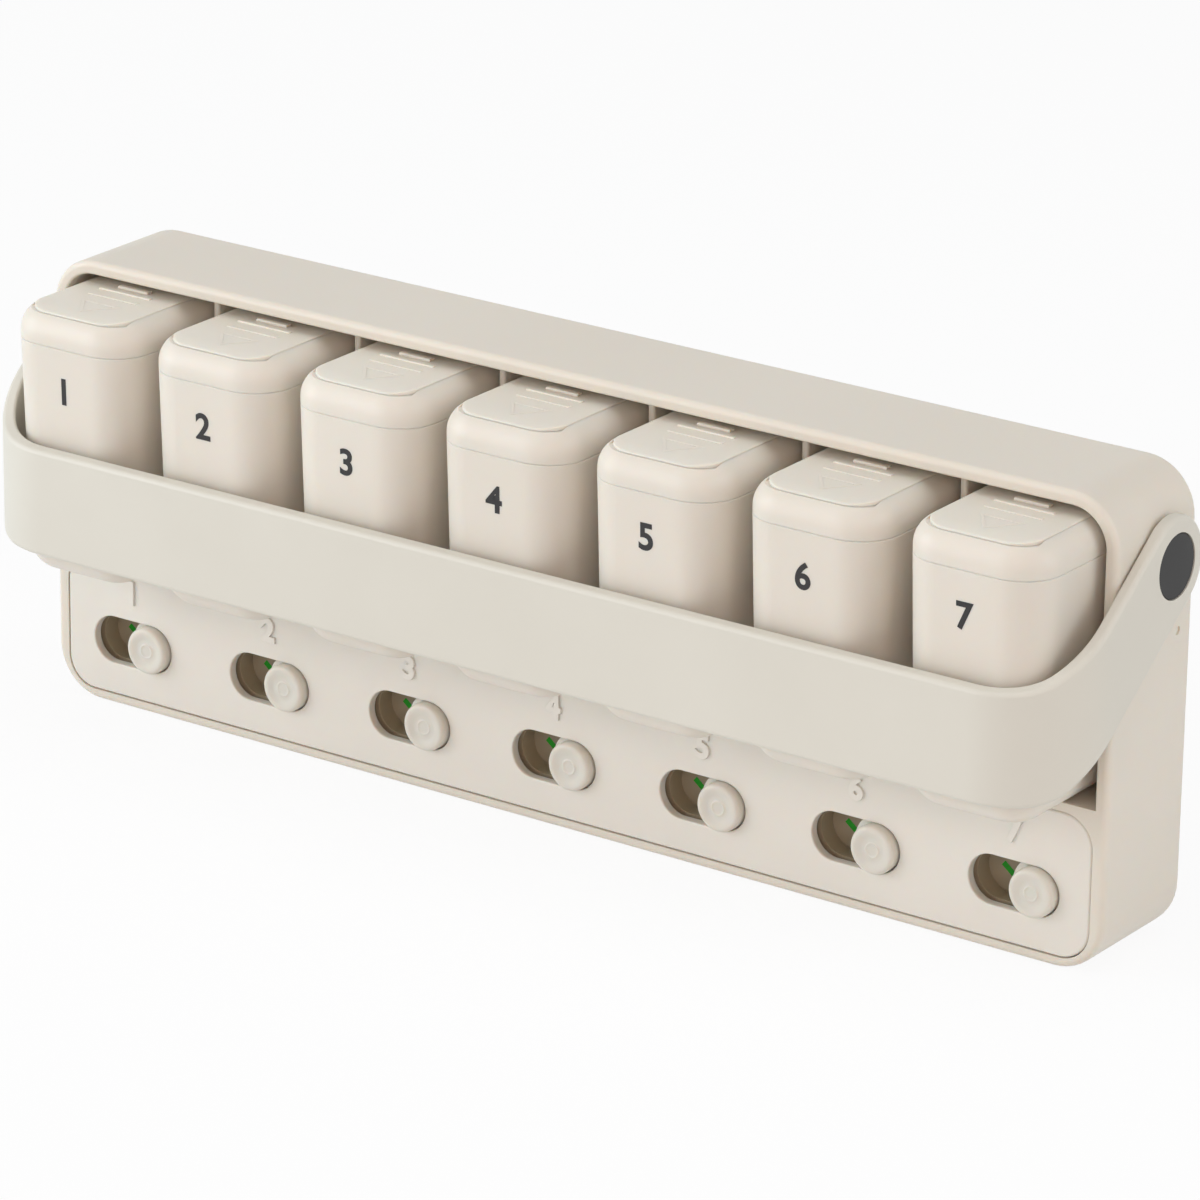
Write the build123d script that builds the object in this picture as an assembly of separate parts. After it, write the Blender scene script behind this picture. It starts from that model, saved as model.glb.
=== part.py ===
from build123d import *
import os
from math import cos, hypot, radians, sin, tan

# Weekly pill organizer: seven pods with sliding lids stand in the bays of a case,
# held by a guard bar that swings up as a handle. Seven sliders below them tick off the days.
# X runs along the case, the front faces -Y, and the case stands on Z = 0.
# Sizes are in millimetres. Depths are measured back from the case's front rim.

# Days and bays. A screw stands behind the divider to the right of each of the screw days
days = ["sun", "mon", "tue", "wed", "thu", "fri", "sat"]
screw_days = ["sun", "tue", "wed", "fri"]
divider_thickness = 1.4
divider_setback = 5.7
divider_edge_radius = 0.5

# Case walls
side_wall = 2.6
roof_wall = 2.6
back_wall = 2.0
shelf_thickness = 1.65
case_corner_radius = 9.9
bay_corner_radius = 7.0
front_edge_radius = 1.2
bay_mouth_radius = 0.5
back_edge_radius = 1.8

# Two points this close count as one
touching = 0.01

# Front panel and its opening
base_rim = 1.95
panel_height = 27.1
panel_thickness = 1.8
panel_gap = 0.2
panel_corner_radius = 6.0
panel_edge_radius = 0.5
panel_ledge = 1.4

# Slider slots, knobs and tray
slot_height_above_base = 13.15
slot_length = 18.7
slot_width = 9.4
slot_edge_radius = 0.3
knob_diameter = 9.2
knob_proud = 1.7
knob_edge_radius = 0.8
knob_dish_diameter = 7.2
knob_dish_depth = 0.2
knob_ring_diameter = 2.9
knob_ring_width = 0.45
flange_diameter = 11.4
flange_thickness = 1.0
flange_clearance = 0.2
slider_travel = 8.8
tray_well_depth = 3.8
tray_floor = 1.2
tray_rim = 2.0
tray_end_clearance = 1.05

# Panel screws and the posts they join
post_diameter = 6.0
post_collar_diameter = 8.0
post_fit = 0.15
case_post_diameter = 8.0
screw_diameter = 2.5
screw_fit = 0.05
screw_head_diameter = 5.0
screw_head_height = 1.8
screw_head_edge_radius = 0.45
screw_head_fit = 0.2
screw_recess = 0.6
screw_tip_gap = 1.0

# Pods
pod_width = 28.5
pod_depth = 43.0
pod_reach = 19.5
pod_side_clearance = 1.55
pod_rear_clearance = 1.35
pod_floor_clearance = 0.2
pod_head_clearance = 1.95
pod_corner_radius = 8.0
pod_draft = 1.8
pod_wall = 1.4
cup_height = 46.05
cup_bottom_radius = 5.5
seam_chamfer = 0.2

# Pod caps
cap_height = 5.45
cap_shoulder_radius = 5.2
cap_dome = 1.1
deck_thickness = 1.6
spigot_depth = 4.0
spigot_wall = 1.2
spigot_fit = 0.1
mouth_width = 16.0
mouth_front = 12.0
mouth_rear = 15.0
mouth_radius = 2.0

# Lids
lid_width = 22.4
lid_front = 17.1
lid_rear = 17.0
lid_thickness = 0.8
lid_deck_gap = 0.05
lid_channel_gap = 0.1
lid_front_radius = 5.2
lid_rear_radius = 1.5
lid_edge_radius = 0.5
lid_seam_chamfer = 0.2
foot_length = 4.0
foot_web = 1.0
foot_hook = 1.2
foot_hook_thickness = 1.0
foot_side_clearance = 0.2
foot_deck_clearance = 0.1
foot_end_clearance = 0.6
rib_edge_radius = 0.1
rib_rows = [(2.0, 7.0, 1.5, 0.8), (-0.8, 12.0, 0.8, 0.35), (-4.3, 11.6, 0.8, 0.15)]

# Guard bar and its pivots
guard_thickness = 2.5
guard_side_gap = 0.3
guard_pod_gap = 1.1
guard_corner_radius = 17.5
guard_band_width = 20.9
guard_band_drop = 14.9
guard_edge_radius = 1.0
guard_inner_edge_radius = 0.5
arm_slope = 37.0
arm_half_width = 9.0
arm_upper_blend = 15.0
arm_lower_blend = 12.0
pivot_depth = 15.4
pivot_below_top = 15.4
pin_diameter = 6.0
pin_guard_fit = 0.05
pin_case_fit = 0.02
pin_head_diameter = 11.8
pin_head_fit = 0.15
pin_head_recess = 1.0
pin_head_sink = 0.1
pin_head_edge_radius = 0.2
pin_head_gap = 0.05
pin_barb_step = 0.45
pin_barb_thickness = 0.5
pin_barb_gap = 0.15
pin_slit = 0.8
dimple_diameter = 1.6
dimple_depth = 0.4
dimple_from_pivot_depth = 6.1
dimple_from_pivot_height = 14.2

# Sizes that follow from the ones above
bay_count = len(days)
bay_pitch = pod_width + 2 * pod_side_clearance + divider_thickness
bay_half_span = (bay_count * bay_pitch - divider_thickness) / 2
case_half_width = bay_half_span + side_wall
bay_depth = pod_depth - pod_reach + pod_rear_clearance
case_depth = bay_depth + back_wall
panel_opening_low = base_rim
panel_opening_high = base_rim + panel_height + 2 * panel_gap
shelf_top = panel_opening_high + shelf_thickness
cup_bottom = shelf_top + pod_floor_clearance
seam_height = cup_bottom + cup_height
deck_height = seam_height + cap_height
lid_bottom = deck_height + lid_deck_gap
lid_top = lid_bottom + lid_thickness
roof_underside = lid_top + pod_head_clearance
case_height = roof_underside + roof_wall
pod_slope = tan(radians(pod_draft))
guard_inner_front = -pod_reach - guard_pod_gap
guard_outer_front = guard_inner_front - guard_thickness
guard_inner_half_width = case_half_width + guard_side_gap
guard_outer_half_width = guard_inner_half_width + guard_thickness
pivot_height = case_height - pivot_below_top
guard_band_high = pivot_height - guard_band_drop
guard_band_low = guard_band_high - guard_band_width
guard_corner_x = guard_outer_half_width - guard_corner_radius
guard_corner_depth = guard_outer_front + guard_corner_radius
panel_half_width = bay_half_span - panel_gap
slider_rest_offset = slider_travel / 2
tray_front = panel_thickness + flange_thickness + 2 * flange_clearance
tray_back = tray_front + tray_well_depth + tray_floor
tray_half_height = slot_width / 2 + tray_rim
tray_half_length = bay_half_span - panel_ledge - tray_end_clearance

# The object's middle depth lies on Y = 0, so the rim sits this far from it
rim_y = -(guard_outer_front + case_depth) / 2

bay_centres = [(index - (bay_count - 1) / 2) * bay_pitch for index in range(bay_count)]
divider_centres = [centre + bay_pitch / 2 for centre in bay_centres[:-1]]
screw_centres = [divider_centres[days.index(day)] for day in screw_days]


def front_plane(depth):
    """A plane that faces the front, with its own Y along the object's Z."""
    return Plane((0, rim_y + depth, 0), x_dir=(1, 0, 0), z_dir=(0, -1, 0))


def plan_plane(height):
    """A level plane whose Y is measured back from the case's rim."""
    return Plane((0, rim_y, height))


def side_plane(x=0):
    """A plane that faces the right side, with its Y along Z and its X measured back from the rim."""
    return Plane((x, rim_y, 0), x_dir=(0, 1, 0), z_dir=(1, 0, 0))


def framed(half_width, low, high, low_radius, high_radius):
    """An upright rectangle with one radius for its lower corners and one for its upper ones."""
    outline = Pos(0, (low + high) / 2) * Rectangle(2 * half_width, high - low)
    if high_radius:
        outline = fillet(outline.vertices().group_by(Axis.Y)[-1], high_radius)
    if low_radius:
        outline = fillet(outline.vertices().group_by(Axis.Y)[0], low_radius)
    return outline


def along_depth(outline, front, back):
    """An upright outline carried straight back from one depth to another."""
    return extrude(front_plane(front) * outline, amount=front - back)


def bar_along_depth(x, height, diameter, front, back):
    return along_depth(Pos(x, height) * Circle(diameter / 2), front, back)


def across(outline, x_low, x_high):
    """A side outline carried across the object from one X to another."""
    return extrude(side_plane(x_low) * outline, amount=x_high - x_low)


def case_shell():
    outline = framed(case_half_width, 0, case_height, case_corner_radius, case_corner_radius)
    body = along_depth(outline, 0, case_depth)
    body = fillet(body.edges().group_by(Axis.Y)[0], front_edge_radius)
    body = fillet(body.edges().group_by(Axis.Y)[-1], back_edge_radius)

    bays = along_depth(framed(bay_half_span, shelf_top, roof_underside, 0, bay_corner_radius), 0, bay_depth)
    divider = Rectangle(divider_thickness, 2 * case_height)
    for centre in divider_centres:
        board = along_depth(Pos(centre) * divider, divider_setback, case_depth)
        front_edges = board.edges().filter_by(Axis.Z).group_by(Axis.Y)[0]
        bays -= fillet(front_edges, divider_edge_radius)
    body -= bays
    mouth_edges = [
        edge for edge in body.edges().group_by(Axis.Y)[0]
        if edge.center().Z > shelf_top + touching and abs(edge.center().X) < bay_half_span + touching
        and edge.center().Z < roof_underside + touching
    ]
    body = fillet(mouth_edges, bay_mouth_radius)

    opening = framed(
        bay_half_span, panel_opening_low, panel_opening_high,
        panel_corner_radius + panel_gap, panel_corner_radius + panel_gap,
    )
    body -= along_depth(opening, 0, panel_thickness)
    hollow = framed(
        bay_half_span - panel_ledge, panel_opening_low + panel_ledge, panel_opening_high - panel_ledge,
        panel_corner_radius - panel_ledge, panel_corner_radius - panel_ledge,
    )
    compartment = along_depth(hollow, panel_thickness, bay_depth)
    for centre in screw_centres:
        compartment -= bar_along_depth(
            centre, slot_height_above_base, case_post_diameter, tray_back, bay_depth
        )
    body -= compartment
    for centre in screw_centres:
        body -= bar_along_depth(
            centre, slot_height_above_base, screw_diameter + 2 * screw_fit, tray_back, case_depth
        )
        body -= bar_along_depth(
            centre, slot_height_above_base, screw_head_diameter + 2 * screw_head_fit,
            case_depth - screw_head_height - screw_recess, case_depth,
        )

    pivot = Pos(pivot_depth, pivot_height)
    dimple = pivot * Pos(dimple_from_pivot_depth, -dimple_from_pivot_height) * Circle(dimple_diameter / 2)
    for side in (-1, 1):
        body -= across(
            pivot * Circle(pin_diameter / 2 + pin_case_fit),
            side * (bay_half_span - side_wall), side * (case_half_width + side_wall),
        )
        body -= across(dimple, side * (case_half_width - dimple_depth), side * case_half_width)
    return body


def slot_outline():
    return SlotOverall(slot_length, slot_width)


def front_panel():
    outline = framed(
        panel_half_width, panel_opening_low + panel_gap, panel_opening_high - panel_gap,
        panel_corner_radius, panel_corner_radius,
    )
    panel = along_depth(outline, 0, panel_thickness)
    panel = fillet(panel.edges().group_by(Axis.Y)[0], panel_edge_radius)
    for centre in bay_centres:
        panel -= along_depth(Pos(centre, slot_height_above_base) * slot_outline(), 0, panel_thickness)
    slots_end = bay_centres[-1] + slot_length / 2
    slot_edges = [
        edge for edge in panel.edges().group_by(Axis.Y)[0]
        if abs(edge.center().X) < slots_end
        and abs(edge.center().Z - slot_height_above_base) < slot_width / 2 + touching
    ]
    panel = fillet(slot_edges, slot_edge_radius)
    for centre in screw_centres:
        panel += bar_along_depth(
            centre, slot_height_above_base, post_collar_diameter, panel_thickness, tray_front
        )
        panel += bar_along_depth(centre, slot_height_above_base, post_diameter, tray_front, tray_back)
        panel -= bar_along_depth(
            centre, slot_height_above_base, screw_diameter + 2 * screw_fit, panel_thickness, tray_back
        )
    return panel


def slider_tray():
    low = slot_height_above_base - tray_half_height
    high = slot_height_above_base + tray_half_height
    outline = framed(tray_half_length, low, high, tray_rim, tray_rim)
    tray = along_depth(outline, tray_front, tray_back)
    for centre in bay_centres:
        well = Pos(centre, slot_height_above_base) * slot_outline()
        tray -= along_depth(well, tray_front, tray_front + tray_well_depth)
    for centre in screw_centres:
        tray -= bar_along_depth(
            centre, slot_height_above_base, post_diameter + 2 * post_fit, tray_front, tray_back
        )
    return tray


def panel_screws():
    """The four screws that clamp the panel's posts and the tray to the case, as one group."""
    head_seat = case_depth - screw_head_height - screw_recess
    screws = []
    for centre in screw_centres:
        shank = bar_along_depth(
            centre, slot_height_above_base, screw_diameter, panel_thickness + screw_tip_gap, head_seat
        )
        head = bar_along_depth(
            centre, slot_height_above_base, screw_head_diameter, head_seat, head_seat + screw_head_height
        )
        head = fillet(head.edges().group_by(Axis.Y)[-1], screw_head_edge_radius)
        screws.append(shank + head)
    return Compound(screws)


def slider_knob(centre):
    x = centre + slider_rest_offset
    flange_front = panel_thickness + flange_clearance
    knob = bar_along_depth(x, slot_height_above_base, knob_diameter, -knob_proud, flange_front)
    knob = fillet(knob.edges().group_by(Axis.Y)[0], knob_edge_radius)
    dish_floor = -knob_proud + knob_dish_depth
    knob -= bar_along_depth(x, slot_height_above_base, knob_dish_diameter, -knob_proud, dish_floor)
    ring = Circle(knob_ring_diameter / 2) - Circle(knob_ring_diameter / 2 - knob_ring_width)
    knob += along_depth(Pos(x, slot_height_above_base) * ring, -knob_proud, dish_floor)
    flange = bar_along_depth(
        x, slot_height_above_base, flange_diameter, flange_front, flange_front + flange_thickness
    )
    return knob + flange


def pod_plan(inset=0):
    """A pod's outline seen from above, with its front face pod_reach ahead of the rim."""
    middle = pod_depth / 2 - pod_reach
    outline = Pos(0, middle) * Rectangle(pod_width - 2 * inset, pod_depth - 2 * inset)
    return fillet(outline.vertices(), pod_corner_radius - inset)


def pod_block(x, low, high, low_inset, high_inset):
    lower = plan_plane(low) * Pos(x) * pod_plan(low_inset)
    upper = plan_plane(high) * Pos(x) * pod_plan(high_inset)
    return loft([lower, upper], ruled=True)


def pod_cup(x):
    taper = cup_height * pod_slope
    body = pod_block(x, cup_bottom, seam_height, taper, 0)
    body = fillet(body.edges().group_by(Axis.Z)[0], cup_bottom_radius)
    body = chamfer(body.edges().group_by(Axis.Z)[-1], seam_chamfer)
    floor_inset = taper + pod_wall - pod_wall * pod_slope
    hollow = pod_block(x, cup_bottom + pod_wall, seam_height, floor_inset, pod_wall)
    hollow = fillet(hollow.edges().group_by(Axis.Z)[0], cup_bottom_radius - pod_wall)
    return body - hollow


def pod_cap(x):
    dome = extrude(plan_plane(seam_height) * Pos(x) * pod_plan(), amount=cap_height + cap_dome)
    dome = fillet(dome.edges().group_by(Axis.Z)[-1], cap_shoulder_radius)
    dome = chamfer(dome.edges().group_by(Axis.Z)[0], seam_chamfer)
    channel_rear = lid_rear + lid_channel_gap
    channel = Pos(x, (channel_rear - pod_reach) / 2) * Rectangle(
        lid_width + 2 * lid_channel_gap, channel_rear + pod_reach
    )
    collar = dome - extrude(plan_plane(deck_height) * channel, amount=2 * cap_dome)
    outer = pod_wall + spigot_fit
    inner = outer + spigot_wall
    spigot_taper = spigot_depth * pod_slope
    spigot = pod_block(x, seam_height - spigot_depth, seam_height, outer + spigot_taper, outer)
    cap = collar + spigot
    cap -= pod_block(
        x, seam_height - spigot_depth, deck_height - deck_thickness, inner + spigot_taper, inner
    )
    mouth = Pos(x, (mouth_rear - mouth_front) / 2) * RectangleRounded(
        mouth_width, mouth_front + mouth_rear, mouth_radius
    )
    return cap - extrude(plan_plane(deck_height) * mouth, amount=-deck_thickness)


def lid_foot(x, side):
    """One hooked foot: a web down through the mouth and a hook out under the deck."""
    web_outer = mouth_width / 2 - foot_side_clearance
    rear = mouth_rear - mouth_radius - foot_end_clearance
    middle = rear - foot_length / 2
    hook_top = deck_height - deck_thickness - foot_deck_clearance
    web_height = lid_bottom - hook_top + foot_hook_thickness
    web = Pos(x + side * (web_outer - foot_web / 2), middle) * Rectangle(foot_web, foot_length)
    hook_width = foot_web + foot_hook
    hook_offset = web_outer - foot_web + hook_width / 2
    hook = Pos(x + side * hook_offset, middle) * Rectangle(hook_width, foot_length)
    foot = extrude(plan_plane(lid_bottom) * web, amount=-web_height)
    return foot + extrude(plan_plane(hook_top) * hook, amount=-foot_hook_thickness)


def pod_lid(x):
    outline = Pos(0, (lid_rear - lid_front) / 2) * Rectangle(lid_width, lid_front + lid_rear)
    outline = fillet(outline.vertices().group_by(Axis.Y)[0], lid_front_radius)
    outline = fillet(outline.vertices().group_by(Axis.Y)[-1], lid_rear_radius)
    lid = extrude(plan_plane(lid_bottom) * Pos(x) * outline, amount=lid_thickness)
    lid = fillet(lid.edges().group_by(Axis.Z)[-1], lid_edge_radius)
    lid = chamfer(lid.edges().group_by(Axis.Z)[0], lid_seam_chamfer)
    for row, width, depth, height in rib_rows:
        rib = extrude(plan_plane(lid_top) * Pos(x, row) * Rectangle(width, depth), amount=height)
        lid += fillet(rib.edges().group_by(Axis.Z)[-1], rib_edge_radius)
    for side in (-1, 1):
        lid += lid_foot(x, side)
    return lid


def guard_side_outline():
    """The guard seen from the side: a boss round the pivot, a sloping arm and a level band."""
    run = Vector(-cos(radians(arm_slope)), -sin(radians(arm_slope)))
    rise = Vector(-sin(radians(arm_slope)), cos(radians(arm_slope)))
    pivot = Vector(pivot_depth, pivot_height)
    upper = pivot + rise * arm_half_width
    lower = pivot - rise * arm_half_width
    upper_end = upper + run * ((upper.Y - guard_band_high) / sin(radians(arm_slope)))
    lower_end = lower + run * ((lower.Y - guard_band_low) / sin(radians(arm_slope)))
    beyond = guard_outer_front - guard_thickness
    arm = make_face(Polyline(
        upper, upper_end, (beyond, guard_band_high), (beyond, guard_band_low), lower_end, lower, close=True
    ))
    upper_corner = arm.vertices().sort_by_distance(upper_end)[0]
    arm = fillet(upper_corner, arm_upper_blend)
    lower_corner = arm.vertices().sort_by_distance(lower_end)[0]
    arm = fillet(lower_corner, arm_lower_blend)
    return arm + Pos(pivot.X, pivot.Y) * Circle(arm_half_width)


def guard_plan(half_width, front, radius):
    rear = pivot_depth + 2 * arm_half_width
    outline = Pos(0, (front + rear) / 2) * Rectangle(2 * half_width, rear - front)
    return fillet(outline.vertices().group_by(Axis.Y)[0], radius)


def rim_edges(bar, half_width, front, radius):
    """The bar's edges that run along one of its two plan outlines."""
    found = []
    for edge in bar.edges():
        point = edge @ 0.5
        past_side = abs(point.X) - (half_width - radius)
        past_front = (front + radius) - (point.Y - rim_y)
        if past_side > 0 and past_front > 0:
            reach = hypot(past_side, past_front)
        else:
            reach = max(past_side, past_front)
        upright = edge.geom_type == GeomType.LINE and abs((edge % 0.5).Z) > 1 - touching
        if abs(reach - radius) < touching and not upright:
            found.append(edge)
    return found


def guard_bar():
    outer = (guard_outer_half_width, guard_outer_front, guard_corner_radius)
    inner = (guard_inner_half_width, guard_inner_front, guard_corner_radius - guard_thickness)
    band = extrude(plan_plane(0) * (guard_plan(*outer) - guard_plan(*inner)), amount=case_height)
    bar = band & across(guard_side_outline(), -2 * case_half_width, 2 * case_half_width)
    bar = fillet(rim_edges(bar, *outer), guard_edge_radius)
    bar = fillet(rim_edges(bar, *inner), guard_inner_edge_radius)
    pivot = Pos(pivot_depth, pivot_height)
    for side in (-1, 1):
        recess_floor = guard_outer_half_width - pin_head_recess
        bar -= across(
            pivot * Circle(pin_diameter / 2 + pin_guard_fit),
            side * case_half_width, side * (guard_outer_half_width + guard_thickness),
        )
        bar -= across(
            pivot * Circle(pin_head_diameter / 2 + pin_head_fit),
            side * recess_floor, side * (guard_outer_half_width + guard_thickness),
        )
    return bar


def guard_part(bar, x_low, x_high, front, back):
    """The stretch of the guard that lies in one upright block."""
    block = Pos((x_low + x_high) / 2, (front + back) / 2) * Rectangle(x_high - x_low, back - front)
    return bar & extrude(plan_plane(0) * block, amount=case_height)


def guard_nodes():
    """The guard's one moulding in five stretches: the band, its two corners and its two arms."""
    bar = guard_bar()
    side_reach = 2 * guard_outer_half_width
    front_reach = 2 * guard_outer_front
    rear_reach = 2 * case_depth
    return {
        "guard_band": guard_part(bar, -guard_corner_x, guard_corner_x, front_reach, guard_corner_depth),
        "guard_corner_left": guard_part(bar, -side_reach, -guard_corner_x, front_reach, guard_corner_depth),
        "guard_corner_right": guard_part(bar, guard_corner_x, side_reach, front_reach, guard_corner_depth),
        "guard_arm_left": guard_part(bar, -side_reach, 0, guard_corner_depth, rear_reach),
        "guard_arm_right": guard_part(bar, 0, side_reach, guard_corner_depth, rear_reach),
    }


def pivot_pin(side):
    """A black snap pin: its head holds the arm, and its split barb grips the case's wall from inside."""
    pivot = Pos(pivot_depth, pivot_height)
    head_seat = guard_outer_half_width - pin_head_recess + pin_head_gap
    barb_seat = bay_half_span - pin_barb_gap
    tip = barb_seat - pin_barb_thickness
    head_face = guard_outer_half_width - pin_head_sink
    head = across(pivot * Circle(pin_head_diameter / 2), side * head_seat, side * head_face)
    outer_face = head.faces().sort_by(Axis.X)[-1 if side > 0 else 0]
    head = fillet(outer_face.edges(), pin_head_edge_radius)
    pin = head + across(pivot * Circle(pin_diameter / 2), side * tip, side * head_seat)
    pin += across(pivot * Circle(pin_diameter / 2 + pin_barb_step), side * tip, side * barb_seat)
    slit = pivot * Rectangle(pin_slit, pin_head_diameter)
    return pin - across(slit, side * tip, side * (case_half_width - side_wall / 2))


def build_nodes():
    nodes = {
        "case_shell": case_shell(),
        "front_panel": front_panel(),
        "slider_tray": slider_tray(),
        "panel_screws": panel_screws(),
        "pivot_pin_left": pivot_pin(-1),
        "pivot_pin_right": pivot_pin(1),
    }
    nodes.update(guard_nodes())
    for day, centre in zip(days, bay_centres):
        nodes[f"slider_knob_{day}"] = slider_knob(centre)
        nodes[f"pod_cup_{day}"] = pod_cup(centre)
        nodes[f"pod_cap_{day}"] = pod_cap(centre)
        nodes[f"pod_lid_{day}"] = pod_lid(centre)
    return nodes


os.makedirs("parts", exist_ok=True)
for name, shape in build_nodes().items():
    export_step(shape, f"parts/{name}.step")
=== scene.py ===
import math

import bmesh
import bpy
from bpy.props import FloatProperty, FloatVectorProperty, IntProperty, PointerProperty
from bpy.types import Operator, Panel, PropertyGroup
from mathutils import Matrix, Vector


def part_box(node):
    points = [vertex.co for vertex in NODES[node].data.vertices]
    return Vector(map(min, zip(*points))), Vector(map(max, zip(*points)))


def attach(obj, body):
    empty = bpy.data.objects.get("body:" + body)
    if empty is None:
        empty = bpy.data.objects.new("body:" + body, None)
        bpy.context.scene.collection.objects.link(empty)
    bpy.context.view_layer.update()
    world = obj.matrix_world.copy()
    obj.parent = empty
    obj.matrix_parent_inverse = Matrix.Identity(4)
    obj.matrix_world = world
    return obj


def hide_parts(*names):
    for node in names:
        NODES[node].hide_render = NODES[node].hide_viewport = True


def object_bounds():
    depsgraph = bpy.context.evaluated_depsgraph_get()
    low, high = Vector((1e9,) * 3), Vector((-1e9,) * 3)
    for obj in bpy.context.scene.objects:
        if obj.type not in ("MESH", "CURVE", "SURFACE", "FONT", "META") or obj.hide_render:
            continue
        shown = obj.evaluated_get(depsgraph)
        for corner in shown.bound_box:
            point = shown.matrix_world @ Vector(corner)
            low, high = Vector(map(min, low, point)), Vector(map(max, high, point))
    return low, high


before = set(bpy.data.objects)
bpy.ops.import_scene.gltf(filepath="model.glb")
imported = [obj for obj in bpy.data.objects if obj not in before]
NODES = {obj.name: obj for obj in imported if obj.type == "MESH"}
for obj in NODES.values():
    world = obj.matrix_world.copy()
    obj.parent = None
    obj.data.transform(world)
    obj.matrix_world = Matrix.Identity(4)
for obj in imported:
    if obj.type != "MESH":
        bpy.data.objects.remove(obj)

bl_info = {
    "name": "Weekly Pill Organizer Finish",
    "version": (1, 0, 0),
    "blender": (4, 5, 0),
    "location": "View3D > Sidebar > Organizer",
    "description": "Dresses the packed pill organizer: plastics, lids, sliders, marks, screws and studio",
    "category": "Object",
}

MM = 0.001
CAD_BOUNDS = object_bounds()


def middle(node):
    low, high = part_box(node)
    return (low + high) / 2


def nodes_named(prefix):
    """The nodes whose names start alike, in their order along the case from the left end."""
    return sorted((name for name in NODES if name.startswith(prefix)), key=lambda name: middle(name).x)


DAYS = [name.removeprefix("pod_cup_") for name in nodes_named("pod_cup_")]
BAYS = [middle(name).x for name in nodes_named("pod_cup_")]
BAY_PITCH = BAYS[1] - BAYS[0]
PANEL_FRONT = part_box("front_panel")[0].y
SLOT_LEVEL = middle("slider_tray").z
SENSOR_WIDTH = 36

# The nearest and the furthest distance that the camera draws, in metres
CLIP = (0.05, 50)

# Points nearer than this are one point, and edges that turn more than this stay sharp
MERGE_DISTANCE = 0.001 * MM
SHARP_ANGLE = math.radians(30)

# Roundings of raised edges, as shares of their height
ARROW_ROUNDING = 1 / 3
NUMBER_ROUNDING = 1 / 5
BAR_ROUNDING = 1 / 2.2

# The span that nearly all of a noise's values fall in
NOISE_SPAN = (0.33, 0.67)

# How much faster green and blue fall than red where a pigment is denser
DENSE_FALL = (1.0, 1.2, 1.5)

# Light spreads furthest inside the plastic at the red end, which warms its gaps and edges
WARM_SPREAD = (1.0, 0.6, 0.38)

# Each lamp's width and distance in metres, its turn towards the right end and its height in degrees
LAMPS = {
    "front": (1.2, 1.6, -12, 8),
    "key": (1.2, 1.6, -55, 15),
    "side": (1.0, 1.5, 98, 24),
    "top": (1.4, 1.5, 0, 84),
    "fill": (0.6, 1.6, 37, 23),
}

# The distances between the two inner and the two outer panel screws, counted in bays
SCREW_SPANS = (1, 5)


def linear(red, green, blue):
    """A colour picked from a screen, from 0 to 255, as the light it stands for."""
    return [
        (share / 12.92) if share <= 0.04045 else ((share + 0.055) / 1.055) ** 2.4
        for share in (red / 255, green / 255, blue / 255)
    ]


def colour_property(name, description, *screen):
    return FloatVectorProperty(
        name=name, description=description, subtype="COLOR", size=3, min=0, max=1, default=linear(*screen)
    )


def length_property(name, description, millimetres):
    return FloatProperty(
        name=name, description=description, subtype="DISTANCE", unit="LENGTH", precision=5,
        default=millimetres * MM,
    )


def angle_property(name, description, degrees):
    return FloatProperty(
        name=name, description=description, subtype="ANGLE", unit="ROTATION", default=math.radians(degrees)
    )


def lengths_property(name, description, *millimetres):
    """Several lengths in one property: a place, or one size of several pieces in their order."""
    return FloatVectorProperty(
        name=name, description=description, subtype="TRANSLATION", unit="LENGTH", precision=5,
        size=len(millimetres), default=[value * MM for value in millimetres],
    )


def share_property(name, description, share):
    return FloatProperty(name=name, description=description, subtype="FACTOR", min=0, max=1, default=share)


def power_property(name, description, watts):
    return FloatProperty(name=name, description=description, unit="POWER", min=0, default=watts)


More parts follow.
